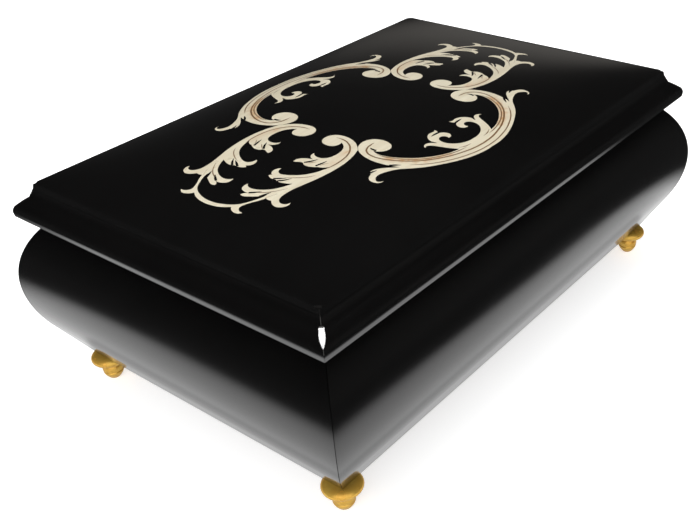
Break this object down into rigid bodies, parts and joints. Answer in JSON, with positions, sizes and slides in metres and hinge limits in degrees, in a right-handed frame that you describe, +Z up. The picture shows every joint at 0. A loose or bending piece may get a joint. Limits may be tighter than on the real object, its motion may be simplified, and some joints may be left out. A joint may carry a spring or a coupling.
{
  "type": "music box",
  "caption": "Music box with bellied black lacquered walls, crowned hinged lid with inlaid scrollwork, turned brass feet, a velvet-lined compartment and a spring-driven comb movement.",
  "frame": {"origin": "middle of the box's plan, on the surface it stands on", "axes": "+X along the box from the movement end to the ring end, +Y from the front to the hinges, +Z up"},
  "size_m": [0.3, 0.204, 0.1209],
  "materials": {
    "black_lacquer": "satin black lacquer over wood",
    "black_veneer": "polished black veneer",
    "ivory_veneer": "pale inlay veneer with brown engraved lines",
    "base_board": "dark stained board",
    "inner_board": "stained board",
    "polished_brass": "polished",
    "plated_hinge": "brushed brass",
    "movement_brass": "satin brass",
    "steel": "bright steel",
    "spring_steel": "blued steel",
    "nickel_plate": "nickel plated",
    "velvet": "dark red velvet",
    "looking_glass": "silvered glass",
    "frame_paint": "black painted wood",
    "clear_plastic": "clear, polished",
    "white_plastic": "moulded"
  },
  "bodies": {
    "case": {"front_wall": "black_lacquer", "back_wall": "black_lacquer", "left_wall": "black_lacquer", "right_wall": "black_lacquer", "base_panel": "base_board", "base_screws": "steel", "foot_front_left": "polished_brass", "foot_front_right": "polished_brass", "foot_back_left": "polished_brass", "foot_back_right": "polished_brass", "foot_studs": "steel", "partition": "inner_board", "front_lining": "velvet", "back_lining": "velvet", "left_lining": "velvet", "right_lining": "velvet", "floor_pad": "velvet", "ring_divider": "velvet", "ring_rolls": "velvet", "left_hinge_case_leaf": "plated_hinge", "right_hinge_case_leaf": "plated_hinge", "hinge_pins": "steel", "hinge_case_screws": "plated_hinge", "bedplate": "nickel_plate", "bedplate_screws": "steel", "spring_bridge": "nickel_plate", "cylinder_bearing": "nickel_plate", "comb": "steel", "comb_base": "nickel_plate", "comb_screws": "steel", "governor_frame": "nickel_plate", "rod_guide": "movement_brass", "movement_cover": "clear_plastic", "cover_ledges": "inner_board"},
    "lid": {"lid_panel": "black_lacquer", "ground_veneer": "black_veneer", "front_scroll_inlay": "ivory_veneer", "back_scroll_inlay": "ivory_veneer", "left_spray_inlay": "ivory_veneer", "right_spray_inlay": "ivory_veneer", "lid_lining": "inner_board", "lid_mirror": "looking_glass", "mirror_frame": "frame_paint", "left_hinge_lid_leaf": "plated_hinge", "right_hinge_lid_leaf": "plated_hinge", "hinge_lid_screws": "plated_hinge"},
    "winder": {"winding_arbor": "steel", "winding_key": "polished_brass"},
    "barrel": {"spring_barrel": "movement_brass", "crown_wheel": "movement_brass", "mainspring": "spring_steel"},
    "cylinder": {"music_cylinder": "movement_brass", "tune_pins": "steel", "cylinder_axle": "steel", "cylinder_gear": "movement_brass"},
    "governor": {"governor_axle": "steel", "worm_wheel": "movement_brass"},
    "fan_shaft": {"worm_shaft": "steel", "fan": "white_plastic"},
    "stop": {"stop_rod": "steel"}
  },
  "joints": [
    {"name": "lid_hinge", "type": "hinge", "parent": "case", "child": "lid", "pos_m": [0, 0.0915, 0.09615], "axis": [-1, 0, 0], "range_deg": [0, 95]},
    {"name": "key_turn", "type": "hinge", "parent": "case", "child": "winder", "pos_m": [-0.088, -0.036, 0.025], "axis": [0, 0, 1], "continuous": true},
    {"name": "barrel_turn", "type": "hinge", "parent": "case", "child": "barrel", "pos_m": [-0.088, -0.036, 0.034], "axis": [0, 0, 1], "continuous": true},
    {"name": "cylinder_turn", "type": "hinge", "parent": "case", "child": "cylinder", "pos_m": [-0.088, 0.0165, 0.0475], "axis": [0, 1, 0], "continuous": true},
    {"name": "governor_turn", "type": "hinge", "parent": "case", "child": "governor", "pos_m": [-0.10024, 0.055, 0.04179], "axis": [0, 1, 0], "continuous": true},
    {"name": "fan_turn", "type": "hinge", "parent": "case", "child": "fan_shaft", "pos_m": [-0.10978, 0.055, 0.05], "axis": [0, 0, 1], "continuous": true},
    {"name": "stop_slide", "type": "slide", "parent": "case", "child": "stop", "axis": [0, 0, 1], "range_m": [0, 0.004]}
  ],
  "couplings": [
    {"joint": "barrel_turn", "follows": "cylinder_turn", "ratio": 0.33333},
    {"joint": "governor_turn", "follows": "cylinder_turn", "ratio": -4},
    {"joint": "fan_turn", "follows": "cylinder_turn", "ratio": -40},
    {"joint": "stop_slide", "follows": "lid_hinge", "m_per_rad": 0.00241}
  ]
}
